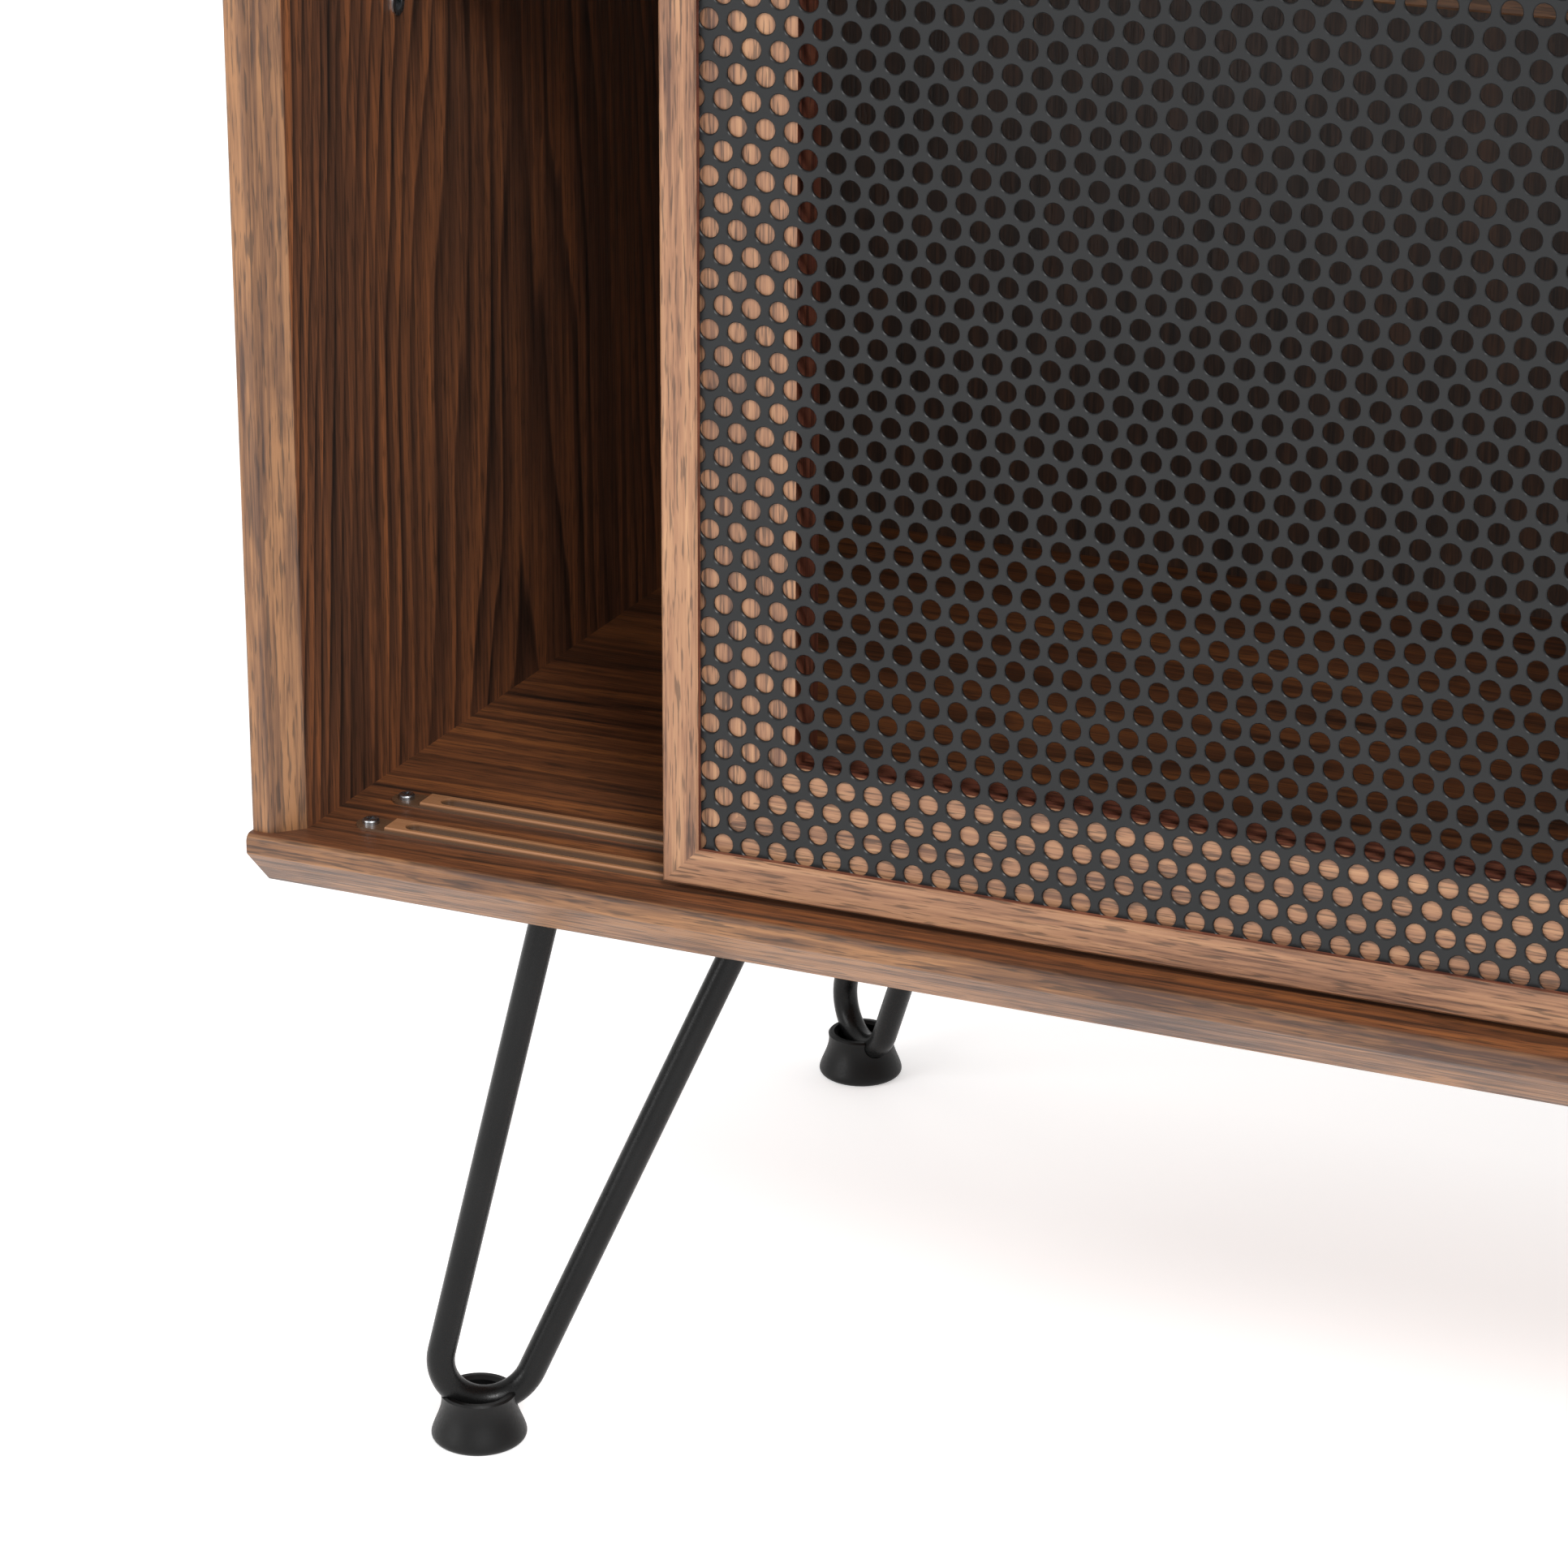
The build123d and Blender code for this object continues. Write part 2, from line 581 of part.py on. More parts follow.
for name, left, door_front in (("front_door", front_door_left, lip_front),
                               ("rear_door", rear_door_left, lip_front + track_spacing)):
    middle_y = door_front + door_thickness / 2
    for member in ("left_stile", "right_stile", "bottom_rail", "top_rail"):
        save(frame_member(member, left, door_front), f"{name}_{member}")
    save(door_sheet(left, door_front), f"{name}_perforated_sheet")
    ends = {"left": left + roller_inset, "right": left + door_width - roller_inset}
    for end, x in ends.items():
        save(roller_housing(x, middle_y), f"{name}_{end}_roller_housing")
        save(wheel(x, middle_y), f"{name}_{end}_wheel")
        save(guide_pin(x, middle_y), f"{name}_{end}_guide_pin")
    with BuildPart() as axles:
        with Locations(*[Location((x, middle_y, wheel_z), POINTS_BACK) for x in ends.values()]):
            Cylinder(axle_radius, roller_width)
    save(axles, f"{name}_axles")
    with BuildPart() as guides:
        for x in ends.values():
            guide_housing(x, middle_y)
    save(guides, f"{name}_guide_housings")
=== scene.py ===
import math

import bmesh
import bpy
from mathutils import Matrix, Vector


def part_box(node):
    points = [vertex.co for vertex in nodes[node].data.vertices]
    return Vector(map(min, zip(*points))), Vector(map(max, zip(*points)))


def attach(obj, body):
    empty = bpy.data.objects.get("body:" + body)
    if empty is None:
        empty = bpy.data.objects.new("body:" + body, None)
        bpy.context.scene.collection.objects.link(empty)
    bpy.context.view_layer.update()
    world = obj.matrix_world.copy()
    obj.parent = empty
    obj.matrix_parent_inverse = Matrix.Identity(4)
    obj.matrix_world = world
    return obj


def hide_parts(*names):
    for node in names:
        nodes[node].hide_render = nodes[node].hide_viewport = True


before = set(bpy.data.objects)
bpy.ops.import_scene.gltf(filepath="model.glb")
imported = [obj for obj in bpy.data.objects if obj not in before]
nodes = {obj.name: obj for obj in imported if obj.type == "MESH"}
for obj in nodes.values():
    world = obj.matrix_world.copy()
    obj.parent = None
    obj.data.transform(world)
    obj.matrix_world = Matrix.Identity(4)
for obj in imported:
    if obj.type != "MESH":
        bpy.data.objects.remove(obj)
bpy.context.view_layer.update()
scene = bpy.context.scene

MM = 0.001
SAME_PLACE = 1e-6
SAME_ANGLE = 0.01
MERGE_DISTANCE = 1e-5
SMOOTH_ANGLE = math.radians(30)

# Perforated steel sheet: staggered round holes with a rounded rim on the front. The hole pattern starts
# FIRST_HOLE from the door's lower left corner, and the sheet itself starts SHEET_EDGE from it.
HOLE_PITCH = 10.5 * MM
ROW_PITCH = 9.05 * MM
HOLE_RADIUS = 3.75 * MM
HOLE_SIDES = 16
RIM = 0.35 * MM
MARGIN_RADIUS = 4.4 * MM
HOLE_COLUMNS = 56
ROW_PAIRS = 23
SHEET_EDGE = 9.3 * MM
FIRST_HOLE = (6.9 * MM, 7.9 * MM)

# The sheet is split in two fields, between two rows of holes.
SPLIT_ROW = 22.5
SPLIT_MARGIN = 0.2 * MM

# Heights between which the track plastic turns from the painted shade of the groove to the tan of the lips.
TRACK_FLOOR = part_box("lower_front_track")[0].z
GROOVE_FLOOR = TRACK_FLOOR + 0.9 * MM
LIP_TOP = TRACK_FLOOR + 2.2 * MM

# Wood patterns: the scale across the grain, twice, and along it.
SWAY = (9, 9, 1.6)
FINE_SWAY = (60, 60, 5)
RING_DEPTH = (26, 26, 2)
BROAD_TONE = (24, 24, 2.0)
FIBRES = (900, 900, 22)
THREADS = (260, 260, 6)
PORES = (950, 950, 60)
STREAKS = (55, 55, 10)
PORE_COLOUR = (0.03, 0.017, 0.011)

# Most of a noise pattern lies between these two values.
NOISE_LOW, NOISE_HIGH = 0.3, 0.7

# Studio
FLOOR_SIZE = 24
FLOOR_GLOW = 0.46
WORLD_STRENGTH = 0.72
CAMERA_PLACE = (0.2832, -1.7262, 0.9315)
CAMERA_AZIMUTH, CAMERA_ELEVATION, CAMERA_ROLL = (math.radians(angle) for angle in (23.77, 20.88, 0.20))
CAMERA_LENS = 115.24
SENSOR_WIDTH = 36


# ---------------------------------------------------------------- workshop

def clear_selection():
    if bpy.context.object and bpy.context.object.mode != "OBJECT":
        bpy.ops.object.mode_set(mode="OBJECT")
    bpy.ops.object.select_all(action="DESELECT")


def only(piece):
    clear_selection()
    piece.select_set(True)
    bpy.context.view_layer.objects.active = piece


def select_edges(piece, wanted):
    """Selects the edges of the piece in edit mode that pass the test."""
    shape = bmesh.from_edit_mesh(piece.data)
    bpy.ops.mesh.select_all(action="DESELECT")
    for edge in shape.edges:
        if wanted(edge):
            edge.select_set(True)
    bmesh.update_edit_mesh(piece.data)


def apply_modifiers(piece):
    only(piece)
    for modifier in list(piece.modifiers):
        bpy.ops.object.modifier_apply(modifier=modifier.name)


def cut_away(piece, point, outward):
    """Cuts the piece on a plane, drops the outward side and closes the cut."""
    only(piece)
    bpy.ops.object.mode_set(mode="EDIT")
    bpy.ops.mesh.select_all(action="SELECT")
    bpy.ops.mesh.bisect(plane_co=point, plane_no=outward, use_fill=True, clear_outer=True)
    bpy.ops.object.mode_set(mode="OBJECT")


def copy_piece(piece, name, shift=(0, 0, 0)):
    only(piece)
    bpy.ops.object.duplicate()
    twin = bpy.context.object
    twin.name = name
    twin.data.name = name
    twin.location = shift
    bpy.ops.object.transform_apply(location=True, rotation=False, scale=False)
    return twin


# ---------------------------------------------------------------- node helpers

def add(tree, kind, inputs=None, **settings):
    """One shader node with its settings; an input is either a value or another node's output."""
    made = tree.nodes.new(kind)
    for key, value in settings.items():
        setattr(made, key, value)
    for key, value in (inputs or {}).items():
        socket = made.inputs[key]
        if isinstance(value, bpy.types.NodeSocket):
            tree.links.new(value, socket)
        else:
            socket.default_value = value
    return made


def math_node(tree, operation, first, second=0.0, third=0.0):
    return add(tree, "ShaderNodeMath", {0: first, 1: second, 2: third}, operation=operation).outputs[0]


def ramp(tree, value, stops):
    """Colour ramp through (position, colour) stops; a plain number stands for a grey."""
    made = add(tree, "ShaderNodeValToRGB", {"Fac": value})
    elements = made.color_ramp.elements
    while len(elements) < len(stops):
        elements.new(0.5)
    for element, (position, colour) in zip(elements, stops):
        element.position = position
        grey = isinstance(colour, (int, float))
        element.color = (colour, colour, colour, 1) if grey else (*colour, 1)
    return made.outputs["Color"]


def mix(tree, factor, first, second):
    """The first colour where the factor is 0 and the second where it is 1."""
    made = add(tree, "ShaderNodeMix", {0: factor}, data_type="RGBA")
    for socket, value in ((made.inputs[6], first), (made.inputs[7], second)):
        if isinstance(value, bpy.types.NodeSocket):
            tree.links.new(value, socket)
        else:
            socket.default_value = (*value, 1)
    return made.outputs[2]


def stretched(tree, vector, scale, shift=(0, 0, 0)):
    return add(tree, "ShaderNodeMapping", {"Vector": vector, "Scale": scale, "Location": shift}).outputs[0]


def noise(tree, vector, scale, detail=3, roughness=0.5, distortion=0.0):
    return add(tree, "ShaderNodeTexNoise", {
        "Vector": vector, "Scale": scale, "Detail": detail,
        "Roughness": roughness, "Distortion": distortion}).outputs["Fac"]


def grain_noise(tree, along, stretch, shift, detail, roughness, distortion=0.0):
    return noise(tree, stretched(tree, along, stretch, shift), 1.0, detail, roughness, distortion)


def height_of(tree, vector):
    return add(tree, "ShaderNodeSeparateXYZ", {0: vector}).outputs["Z"]


def new_finish(name):
    """An empty node material with its shader and its Texture Coordinate node."""
    finish = bpy.data.materials.new(name)
    finish.use_nodes = True
    tree = finish.node_tree
    shader = tree.nodes["Principled BSDF"]
    coordinates = tree.nodes.new("ShaderNodeTexCoord")
    return finish, tree, shader, coordinates


def set_colour(tree, shader, colour):
    tree.links.new(colour, shader.inputs["Base Color"])


def set_uneven_roughness(tree, shader, pattern, at_low, at_high):
    shade = ramp(tree, pattern, [(NOISE_LOW, at_low), (NOISE_HIGH, at_high)])
    tree.links.new(shade, shader.inputs["Roughness"])


def set_bump(tree, shader, height, strength, depth):
    bump = add(tree, "ShaderNodeBump", {"Height": height, "Strength": strength, "Distance": depth})
    tree.links.new(bump.outputs[0], shader.inputs["Normal"])


def srgb(*levels):
    """A colour picked as 0-255 screen values, as linear light."""
    parts = [level / 255 for level in levels]
    return tuple(part / 12.92 if part <= 0.04045 else ((part + 0.055) / 1.055) ** 2.4 for part in parts)


# ---------------------------------------------------------------- colours

# Each wood has a dark, a middle and a light tone.
WALNUT_FACE = (srgb(36, 29, 26), srgb(98, 66, 49), srgb(154, 99, 64))
# Paler tone for surfaces that face the front: partly the edge banding's own tone, partly painted light from the
# front.
LIT_WALNUT_EDGE = (srgb(70, 47, 36), srgb(112, 77, 51), srgb(142, 100, 65))
# The left side panel's darker copy of the walnut face tones: painted shade on the inside of the cabinet.
SHADED_SIDE_FACE = (srgb(32, 25, 22), srgb(92, 59, 42), srgb(150, 92, 56))
# The bottom panel's lighter, warmer copy of the walnut face tones: painted light falling on its top.
LIT_BOTTOM_FACE = (srgb(46, 32, 25), srgb(112, 68, 42), srgb(158, 98, 54))
# Darker copy of the walnut tones for the back panels: painted shade at the back of the cabinet.
SHADED_BACK_FACE = (srgb(28, 23, 21), srgb(66, 46, 35), srgb(98, 66, 46))
# Door tones: the darker face tone on the sides is painted shade, and the paler edge tone on the front-facing
# surfaces is painted light from the front.
SHADED_DOOR_FACE = (srgb(62, 30, 24), srgb(104, 58, 44), srgb(134, 82, 60))
LIT_DOOR_EDGE = (srgb(84, 56, 43), srgb(141, 101, 74), srgb(168, 127, 93))
BEECH_FACE = (srgb(196, 160, 118), srgb(214, 182, 142), srgb(226, 198, 160))

# Painted shade: the groove floor and its walls are darker than the tan lips.
TRACK_GROOVE_SHADE = srgb(84, 62, 46)
TRACK_WALL_HALF_SHADE = srgb(112, 78, 52)
TRACK_LIP = srgb(158, 112, 78)

FLOOR_DULL = (0.93, 0.93, 0.93)
FLOOR_PALE = (0.95, 0.95, 0.95)
WHITE = (1, 1, 1, 1)


# ---------------------------------------------------------------- finishes

def growth_rings(tree, along, heart, ring):
    """Rings about the heart, drawn out along the grain into straight lines and long arches."""
    sway = grain_noise(tree, along, SWAY, (heart[0] * 7, 3.1, 0.4), 3, 0.45)
    drift = math_node(tree, "MULTIPLY", math_node(tree, "SUBTRACT", sway, 0.5), 0.06)
    from_heart = stretched(tree, along, (1, 1, 0), (-heart[0], -heart[1], 0))
    across = add(tree, "ShaderNodeVectorMath", {0: from_heart}, operation="LENGTH").outputs["Value"]
    taper = math_node(tree, "MULTIPLY_ADD", height_of(tree, along), 0.05, across)
    fine_sway = grain_noise(tree, along, FINE_SWAY, (6, 2, 5), 2, 0.5)
    radius = math_node(tree, "MULTIPLY_ADD", fine_sway, 0.006, math_node(tree, "ADD", taper, drift))
    phase = math_node(tree, "FRACT", math_node(tree, "DIVIDE", radius, ring))
    rings = ramp(tree, phase, [(0.0, 0.85), (0.3, 0.75), (0.66, 0.45), (0.86, 0.0), (0.93, 0.1), (1.0, 0.85)])
    ring_depth = grain_noise(tree, along, RING_DEPTH, (8, 4, 1), 2, 0.5)
    ring_fade = ramp(tree, ring_depth, [(0.35, 0.35), (0.62, 1.0)])
    return math_node(tree, "MULTIPLY", math_node(tree, "SUBTRACT", rings, 0.5), ring_fade)


def face_wood(tree, along, heart, ring, figure, tones, threads, fibres):
    """The broad side of a board: rings, broad tone, threads and fine fibres."""
    broad = grain_noise(tree, along, BROAD_TONE, (heart[1] * 5, 1.7, 2.0), 4, 0.55)
    tone = math_node(tree, "MULTIPLY_ADD", growth_rings(tree, along, heart, ring), figure,
                     math_node(tree, "MULTIPLY", broad, 0.55))
    tone = math_node(tree, "MULTIPLY_ADD", threads, 0.6, tone)
    tone = math_node(tree, "MULTIPLY_ADD", fibres, 0.3, tone)
    return ramp(tree, tone, list(zip((0.5, 0.74, 0.98), tones)))


def edge_wood(tree, along, streaks, tones, threads, fibres):
    """The same board cut thin, with patchy dark streaks."""
    patches = grain_noise(tree, along, STREAKS, (1, 8, 3), 4, 0.6, 0.8)
    tone = math_node(tree, "MULTIPLY_ADD", patches, 0.9 * streaks, math_node(tree, "MULTIPLY", fibres, 0.5))
    tone = math_node(tree, "MULTIPLY_ADD", threads, 0.55, tone)
    middle = 0.45 * streaks + 0.525
    return ramp(tree, tone, list(zip((middle - 0.17, middle - 0.01, middle + 0.2), tones)))


def walnut(name, grain, heart, face=WALNUT_FACE, edge=LIT_WALNUT_EDGE, ring=7 * MM, figure=0.34, streaks=0.8):
    """Walnut laminate. The grain runs along the given axis; heart is where the growth rings are centred
    across the grain. Surfaces that face the front get the paler edge tone, partly the edge banding's own tone
    and partly painted light from the front."""
    finish, tree, shader, coordinates = new_finish(name)
    turn = (0, 0, 0) if grain == "Z" else (0, -math.pi / 2, 0)
    along = add(tree, "ShaderNodeMapping", {
        "Vector": coordinates.outputs["Object"], "Rotation": turn}).outputs[0]
    fibres = grain_noise(tree, along, FIBRES, (0, 0, 0), 4, 0.65)
    threads = grain_noise(tree, along, THREADS, (2, 5, 1), 3, 0.6)
    pores = grain_noise(tree, along, PORES, (4, 0, 7), 2, 0.5)
    pore_mask = ramp(tree, pores, [(0.545, 0.0), (0.62, 1.0)])

    face_colour = face_wood(tree, along, heart, ring, figure, face, threads, fibres)
    lit_edge_colour = edge_wood(tree, along, streaks, edge, threads, fibres)
    # Painted light: surfaces that face the front take the paler edge tone, as if lit from the front.
    facing = add(tree, "ShaderNodeSeparateXYZ", {0: coordinates.outputs["Normal"]}).outputs["Y"]
    front_light_mask = ramp(tree, math_node(tree, "MULTIPLY", facing, -1.0), [(0.35, 0.0), (0.5, 1.0)])
    wood = mix(tree, front_light_mask, face_colour, lit_edge_colour)
    set_colour(tree, shader, mix(tree, math_node(tree, "MULTIPLY", pore_mask, 0.6), wood, PORE_COLOUR))

    set_uneven_roughness(tree, shader, fibres, 0.5, 0.38)
    set_bump(tree, shader, math_node(tree, "MULTIPLY_ADD", pore_mask, -0.6, fibres), 0.22, 0.4 * MM)
    shader.inputs["Specular IOR Level"].default_value = 0.42
    return finish


def back_board(name, heart):
    """Thin hardboard with a walnut print in darker tones that are painted shade, the same on the side that
    faces the front.
    """
    return walnut(name, "Z", heart, face=SHADED_BACK_FACE, edge=SHADED_BACK_FACE, streaks=0.4)


def painted_metal(name, colour, roughness, gloss, speckle=0.35, grain=1600.0, spread=0.08):
    """Powder coat: a fine orange peel over one colour, slightly uneven in gloss."""
    finish, tree, shader, coordinates = new_finish(name)
    surface = coordinates.outputs["Object"]
    peel = noise(tree, surface, grain, 2)
    light = tuple(min(1.0, part * 1.35 + 0.004) for part in colour)
    set_colour(tree, shader, mix(tree, noise(tree, surface, 30.0), colour, light))
    set_uneven_roughness(tree, shader, peel, roughness - spread, roughness + spread)
    set_bump(tree, shader, peel, speckle, 0.12 * MM)
    shader.inputs["Specular IOR Level"].default_value = gloss
    return finish


def moulded_plastic(name, colour, roughness, depth=0.15, gloss=0.5):
    """Plastic or rubber from a mould, with a fine skin and faint clouds."""
    finish, tree, shader, coordinates = new_finish(name)
    surface = coordinates.outputs["Object"]
    skin = noise(tree, surface, 900.0, 2)
    dark = tuple(part * 0.82 for part in colour)
    set_colour(tree, shader, mix(tree, noise(tree, surface, 45.0), dark, colour))
    set_uneven_roughness(tree, shader, skin, roughness - 0.06, roughness + 0.06)
    set_bump(tree, shader, skin, depth, 0.1 * MM)
    shader.inputs["Specular IOR Level"].default_value = gloss
    return finish


def track_finish(name):
    """Brown track plastic: tan on the lips, with painted shade darkening it down in the groove."""
    finish, tree, shader, coordinates = new_finish(name)
    surface = coordinates.outputs["Object"]
    rise_out_of_shade = add(tree, "ShaderNodeMapRange", {
        "Value": height_of(tree, surface), "From Min": GROOVE_FLOOR, "From Max": LIP_TOP}).outputs[0]
    streak = noise(tree, stretched(tree, surface, (12, 500, 500)), 1.0, 3, 0.6)
    level = math_node(tree, "MULTIPLY_ADD", math_node(tree, "SUBTRACT", streak, 0.5), 0.35, rise_out_of_shade)
    # Painted shade: darker low in the groove, tan up at the lips.
    set_colour(tree, shader, ramp(tree, level, [(0.0, TRACK_GROOVE_SHADE), (0.55, TRACK_WALL_HALF_SHADE), (1.0, TRACK_LIP)]))
    set_uneven_roughness(tree, shader, streak, 0.22, 0.36)
    return finish


def plated_metal(name, colour, roughness):
    """Bare metal, brushed a little uneven."""
    finish, tree, shader, coordinates = new_finish(name)
    brushed = noise(tree, stretched(tree, coordinates.outputs["Object"], (900, 900, 200)), 1.0, 3, 0.6)
    dull = tuple(part * 0.7 for part in colour)
    set_colour(tree, shader, mix(tree, brushed, dull, colour))
    set_uneven_roughness(tree, shader, brushed, roughness - 0.08, roughness + 0.1)
    shader.inputs["Metallic"].default_value = 1.0
    return finish


charcoal_sheet = painted_metal("charcoal_perforated_steel", srgb(19, 20, 21), roughness=0.34, gloss=0.25,
                               speckle=0.2, grain=2200.0, spread=0.05)
black_coat = painted_metal("black_powder_coat", srgb(8, 8, 8), roughness=0.32, gloss=0.2)
foot_rubber = moulded_plastic("black_foot_rubber", srgb(9, 9, 9), roughness=0.46, depth=0.3, gloss=0.25)
track_plastic = track_finish("brown_track_plastic")
housing_plastic = moulded_plastic("black_housing_plastic", srgb(28, 28, 30), roughness=0.45)
nylon = moulded_plastic("white_wheel_nylon", srgb(225, 222, 214), roughness=0.4)
zinc = plated_metal("zinc_plated_steel", srgb(200, 204, 208), roughness=0.3)
die_cast = plated_metal("zinc_die_cast", srgb(176, 178, 180), roughness=0.42)
beech = walnut("beech_dowel", "Z", (0.0, 0.0), face=BEECH_FACE)
door_upright = walnut("walnut_door_stile", "Z", (-0.40, -0.1), SHADED_DOOR_FACE, LIT_DOOR_EDGE, streaks=0.45)
door_cross = walnut("walnut_door_rail", "X", (-0.25, -0.1), SHADED_DOOR_FACE, LIT_DOOR_EDGE, streaks=0.45)

board_finishes = {
    "left_side_panel": walnut("walnut_left_side", "Z", (-0.655, -0.03), face=SHADED_SIDE_FACE),
    "right_side_panel": walnut("walnut_right_side", "Z", (0.65, 0.04)),
    "centre_divider": walnut("walnut_divider", "Z", (0.07, 0.0)),
    "bottom_panel": walnut("walnut_bottom", "X", (-0.30, 0.02), face=LIT_BOTTOM_FACE, ring=13 * MM, figure=0.24),
    "top_panel": walnut("walnut_top", "X", (-0.80, 0.02)),
    "left_shelf": walnut("walnut_left_shelf", "X", (-0.66, 0.05)),
    "right_shelf": walnut("walnut_right_shelf", "X", (-0.52, -0.04)),
    "left_back_panel": back_board("hardboard_left_back", (-0.25, 0.27)),
    "right_back_panel": back_board("hardboard_right_back", (0.33, 0.27)),
}
fitting_finishes = (
    ("_stile", door_upright),
    ("_rail", door_cross),
    ("_track", track_plastic),
    ("_foot", foot_rubber),
    ("_leg_rod", black_coat),
    ("_leg_plate", black_coat),
    ("housing", housing_plastic),
    ("housings", housing_plastic),
    ("_wheel", nylon),
    ("cam_locks", die_cast),
    ("dowels", beech),
    ("sheet", charcoal_sheet),
)


def finish_of(name):
    """Boards by their name, fittings by how their name ends, and zinc for all screws, pins and sleeves."""
    if name in board_finishes:
        return board_finishes[name]
    for ending, finish in fitting_finishes:
        if name.endswith(ending):
            return finish
    return zinc


for name, part in nodes.items():
    for material_slot in part.material_slots:
        material_slot.material = finish_of(name)


# ---------------------------------------------------------------- perforated sheets

def ring_out(middle, factor, shift=0.0):
    """Extrudes the selected ring of edges, moves it along the thickness and widens it about the hole."""
    bpy.ops.mesh.extrude_edges_move(TRANSFORM_OT_translate={"value": (0, shift, 0)})
    bpy.ops.transform.resize(value=(factor, 1, factor), center_override=middle)


def square_the_margin(sheet, middle):
    """Draws the round margin out to the rectangle of one pitch, with four edges to a side."""
    bpy.ops.mesh.select_mode(type="VERT")
    for step, (across, up) in enumerate(((1, 0), (1, 0.5), (1, 1), (0.5, 1), (0, 1))):
        angle = step * 2 * math.pi / HOLE_SIDES
        wider = across * HOLE_PITCH / 2 / (MARGIN_RADIUS * math.cos(angle)) if across else 1
        taller = up * ROW_PITCH / 2 / (MARGIN_RADIUS * math.sin(angle)) if up else 1
        shape = bmesh.from_edit_mesh(sheet.data)
        bpy.ops.mesh.select_all(action="DESELECT")
        for corner in shape.verts:
            reach = Vector((abs(corner.co.x - middle[0]), abs(corner.co.z - middle[2])))
            if abs(reach.length - MARGIN_RADIUS) < SAME_PLACE:
                corner.select_set(abs(math.atan2(reach.y, reach.x) - angle) < SAME_ANGLE)
        bmesh.update_edit_mesh(sheet.data)
        bpy.ops.transform.resize(value=(wider, 1, taller), center_override=middle)


def one_pitch(middle, rim_start, back):
    """A staggered pair of holes with their rims, and the sheet's front and back around them."""
    clear_selection()
    bpy.ops.mesh.primitive_circle_add(vertices=HOLE_SIDES, radius=HOLE_RADIUS,
                                      location=(middle[0], rim_start, middle[2]),
                                      rotation=(math.pi / 2, 0, 0))
    sheet = bpy.context.object
    bpy.ops.object.transform_apply(location=True, rotation=True, scale=True)
    bpy.ops.object.mode_set(mode="EDIT")
    bpy.ops.mesh.select_mode(type="EDGE")
    bpy.ops.mesh.select_all(action="SELECT")
    ring_out(middle, 1, back - rim_start)
    ring_out(middle, MARGIN_RADIUS / HOLE_RADIUS)
    select_edges(sheet, lambda edge: all(abs(corner.co.y - rim_start) < SAME_PLACE for corner in edge.verts))
    ring_out(middle, (HOLE_RADIUS + RIM) / HOLE_RADIUS, -RIM)
    ring_out(middle, MARGIN_RADIUS / (HOLE_RADIUS + RIM))
    square_the_margin(sheet, middle)
    bpy.ops.mesh.select_mode(type="EDGE")
    bpy.ops.mesh.select_all(action="SELECT")
    bpy.ops.mesh.duplicate_move(TRANSFORM_OT_translate={"value": (HOLE_PITCH / 2, 0, ROW_PITCH)})
    bpy.ops.mesh.select_all(action="SELECT")
    bpy.ops.mesh.remove_doubles(threshold=MERGE_DISTANCE)
    bpy.ops.mesh.normals_make_consistent(inside=False)
    bpy.ops.object.mode_set(mode="OBJECT")
    return sheet


def perforated_sheet(low, high):
    """The sheet with all its holes: one pitch is shaped, then repeated along both ways and trimmed."""
    middle = (low.x - SHEET_EDGE + FIRST_HOLE[0], low.y, low.z - SHEET_EDGE + FIRST_HOLE[1])
    sheet = one_pitch(middle, low.y + RIM, high.y)
    for count, offset in ((HOLE_COLUMNS, (HOLE_PITCH, 0, 0)), (ROW_PAIRS, (0, 0, 2 * ROW_PITCH))):
        repeat = sheet.modifiers.new("repeat", "ARRAY")
        repeat.use_relative_offset = False
        repeat.use_constant_offset = True
        repeat.constant_offset_displace = offset
        repeat.count = count
        repeat.use_merge_vertices = True
        repeat.merge_threshold = MERGE_DISTANCE
    apply_modifiers(sheet)
    for corner, outward in ((low, (-1, 0, 0)), (low, (0, 0, -1)), (high, (1, 0, 0)), (high, (0, 0, 1))):
        cut_away(sheet, corner, outward)
    return sheet


def halve_and_finish(sheet, body, split_height):
    """The sheet in a lower and an upper field that meet between two rows of holes."""
    node = body + "_perforated_sheet"
    upper = copy_piece(sheet, body + "_perforated_upper_field")
    sheet.name = body + "_perforated_lower_field"
    sheet.data.name = sheet.name
    cut_away(sheet, (0, 0, split_height), (0, 0, 1))
    cut_away(upper, (0, 0, split_height), (0, 0, -1))
    for field in (sheet, upper):
        only(field)
        bpy.ops.object.mode_set(mode="EDIT")
        bpy.ops.mesh.select_all(action="SELECT")
        bpy.ops.mesh.fill_holes(sides=0)
        bpy.ops.mesh.select_all(action="SELECT")
        bpy.ops.mesh.normals_make_consistent(inside=False)
        bpy.ops.object.mode_set(mode="OBJECT")
        bpy.ops.object.shade_smooth_by_angle(angle=SMOOTH_ANGLE)
        field.data.materials.clear()
        field.data.materials.append(charcoal_sheet)
        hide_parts(node)
        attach(field, body)


low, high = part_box("front_door_perforated_sheet")
front_sheet = perforated_sheet(low, high)
rear_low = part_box("rear_door_perforated_sheet")[0]
rear_sheet = copy_piece(front_sheet, "rear_perforated_sheet", rear_low - low)
split_height = low.z - SHEET_EDGE + FIRST_HOLE[1] + SPLIT_ROW * ROW_PITCH + SPLIT_MARGIN
halve_and_finish(front_sheet, "front_door", split_height)
halve_and_finish(rear_sheet, "rear_door", split_height)


# ---------------------------------------------------------------- floor, light and camera

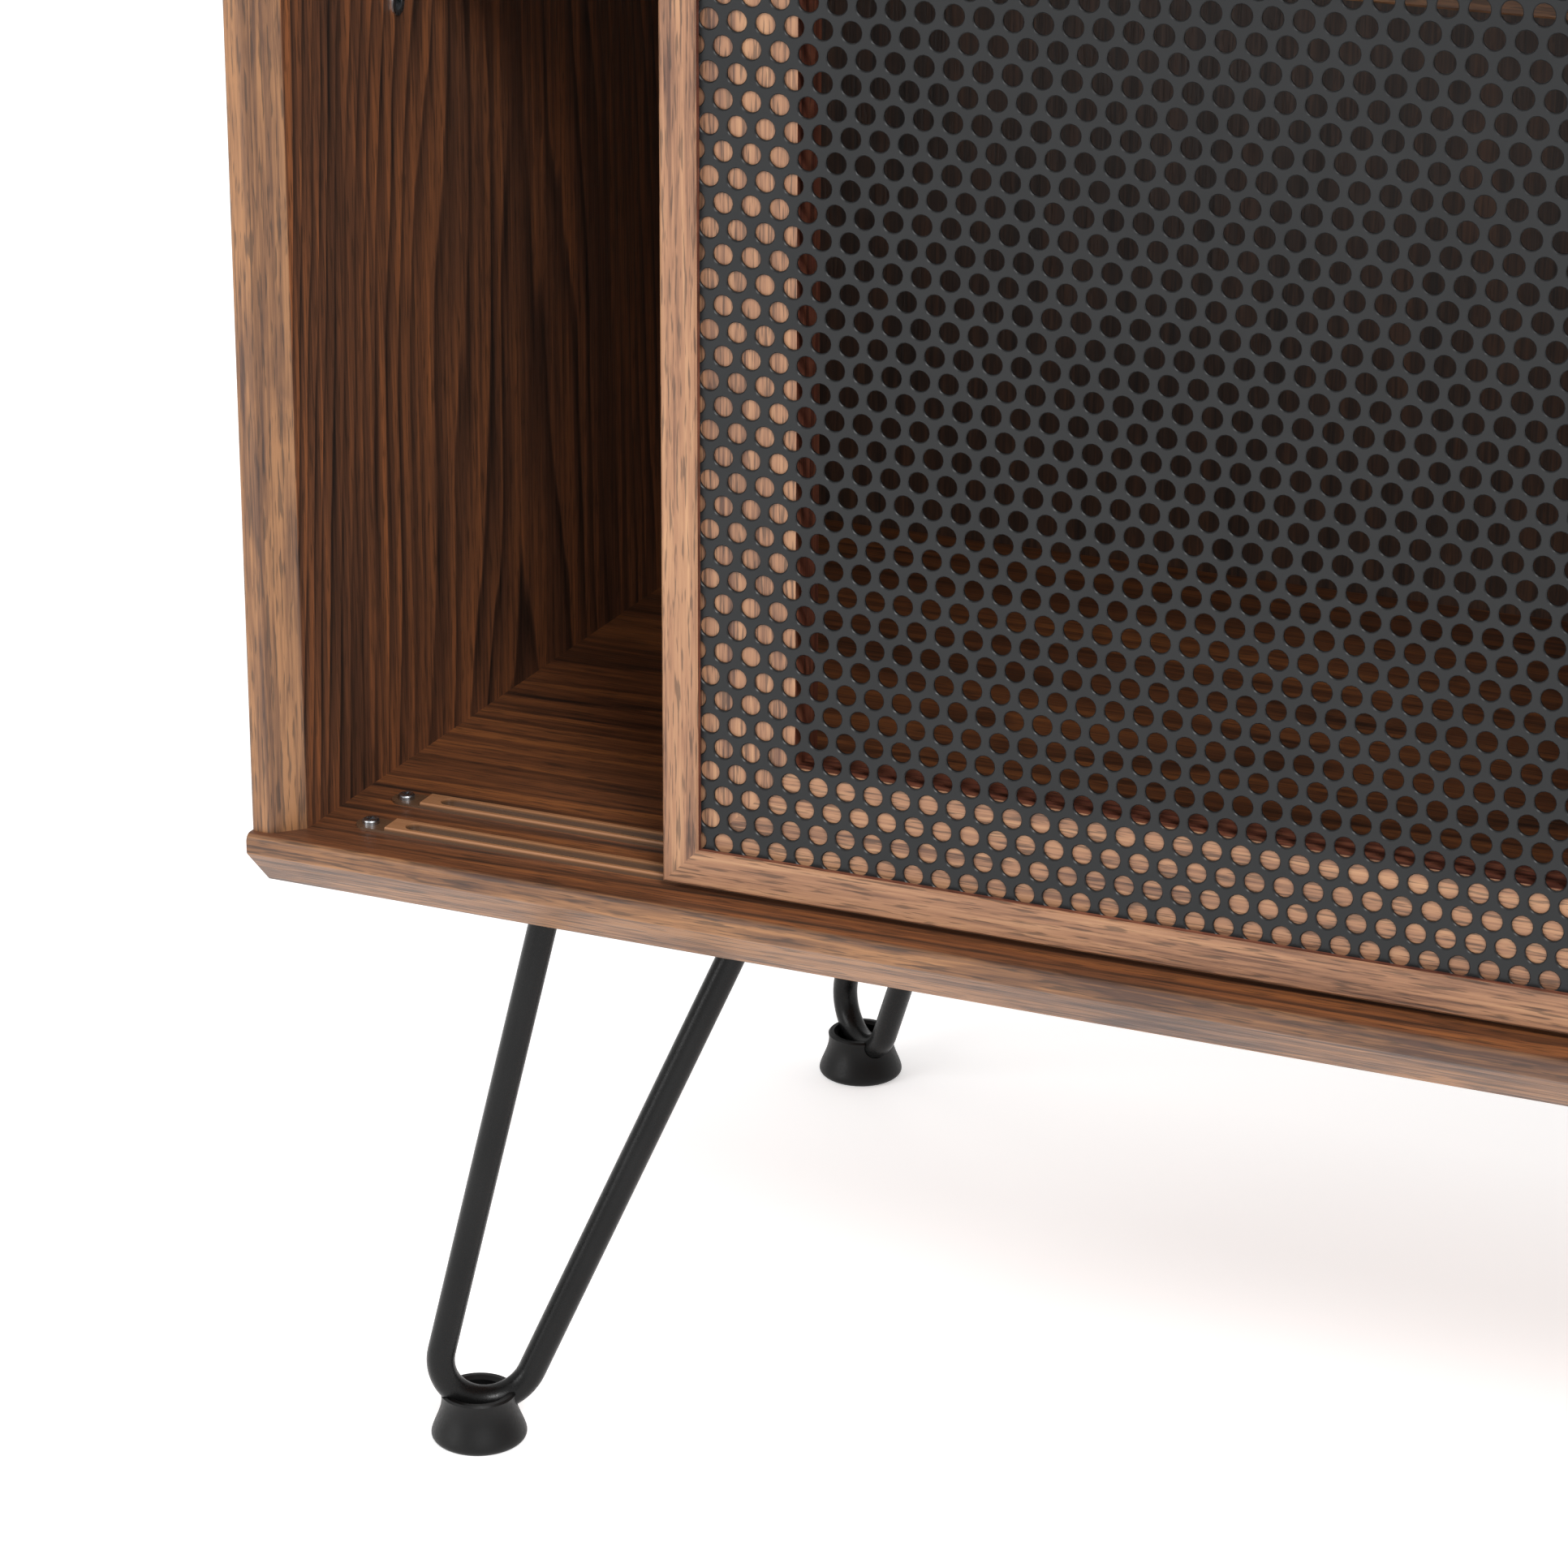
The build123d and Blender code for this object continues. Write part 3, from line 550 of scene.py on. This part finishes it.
def white_floor():
    clear_selection()
    bpy.ops.mesh.primitive_plane_add(size=FLOOR_SIZE, location=(0, 0, 0))
    floor = bpy.context.object
    floor.name = "studio_floor"
    finish, tree, shader, coordinates = new_finish("pale_floor")
    cloud = noise(tree, coordinates.outputs["Object"], 0.4, 2)
    set_colour(tree, shader, mix(tree, cloud, FLOOR_DULL, FLOOR_PALE))
    shader.inputs["Roughness"].default_value = 0.9
    shader.inputs["Specular IOR Level"].default_value = 0.0
    shader.inputs["Emission Color"].default_value = WHITE
    shader.inputs["Emission Strength"].default_value = FLOOR_GLOW
    floor.data.materials.append(finish)


def soft_light(name, place, target, size, power):
    clear_selection()
    aim = (Vector(target) - Vector(place)).to_track_quat("-Z", "Y").to_euler()
    bpy.ops.object.light_add(type="AREA", location=place, rotation=aim)
    lamp = bpy.context.object
    lamp.name = name
    lamp.data.shape = "DISK"
    lamp.data.size = size
    lamp.data.energy = power


def place_camera():
    backward = Vector((math.sin(CAMERA_AZIMUTH) * math.cos(CAMERA_ELEVATION),
                       -math.cos(CAMERA_AZIMUTH) * math.cos(CAMERA_ELEVATION),
                       math.sin(CAMERA_ELEVATION)))
    level = (-backward).cross(Vector((0, 0, 1))).normalized()
    upright = level.cross(-backward)
    right = level * math.cos(CAMERA_ROLL) + upright * math.sin(CAMERA_ROLL)
    up = upright * math.cos(CAMERA_ROLL) - level * math.sin(CAMERA_ROLL)
    clear_selection()
    bpy.ops.object.camera_add()
    camera = bpy.context.object
    camera.name = "view_camera"
    camera.matrix_world = Matrix.Translation(CAMERA_PLACE) @ Matrix((right, up, backward)).transposed().to_4x4()
    camera.data.sensor_width = SENSOR_WIDTH
    camera.data.lens = CAMERA_LENS
    camera.data.clip_end = 100
    scene.camera = camera


def studio_world():
    world = bpy.data.worlds.new("studio")
    world.use_nodes = True
    background = world.node_tree.nodes["Background"]
    background.inputs["Color"].default_value = WHITE
    background.inputs["Strength"].default_value = WORLD_STRENGTH
    scene.world = world
    scene.view_settings.view_transform = "Standard"
    scene.view_settings.look = "None"


white_floor()
studio_world()
soft_light("key_light", (1.5, -2.7, 2.9), (-0.2, 0, 0.35), size=1.3, power=120)
soft_light("fill_light", (-2.4, -2.4, 1.3), (0, 0, 0.35), size=1.6, power=34)
place_camera()
